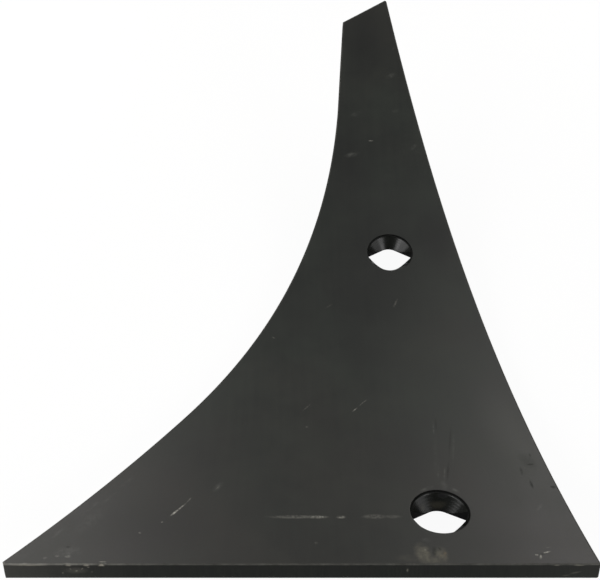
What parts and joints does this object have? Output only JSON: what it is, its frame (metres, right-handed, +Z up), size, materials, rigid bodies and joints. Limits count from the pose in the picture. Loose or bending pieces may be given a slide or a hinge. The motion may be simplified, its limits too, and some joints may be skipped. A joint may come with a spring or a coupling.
{
  "type": "mouldboard front section",
  "caption": "Rolled steel front section of a plough mouldboard: straight share edge, hollow throat, narrow slanted neck and countersunk holes for plough bolts.",
  "frame": {"origin": "on the surface that the plate lies on, under the middle of its outline", "axes": "+X along the share edge from the wing tip to the landside, +Y from the share edge towards the neck, +Z up out of the hollow soil face"},
  "size_m": [0.2646, 0.404, 0.0941],
  "materials": {
    "dark_steel_plate": "satin black dip paint over rolled steel plate, lightly scuffed"
  },
  "bodies": {
    "root": {"mouldboard_front_section": "dark_steel_plate"}
  },
  "joints": []
}
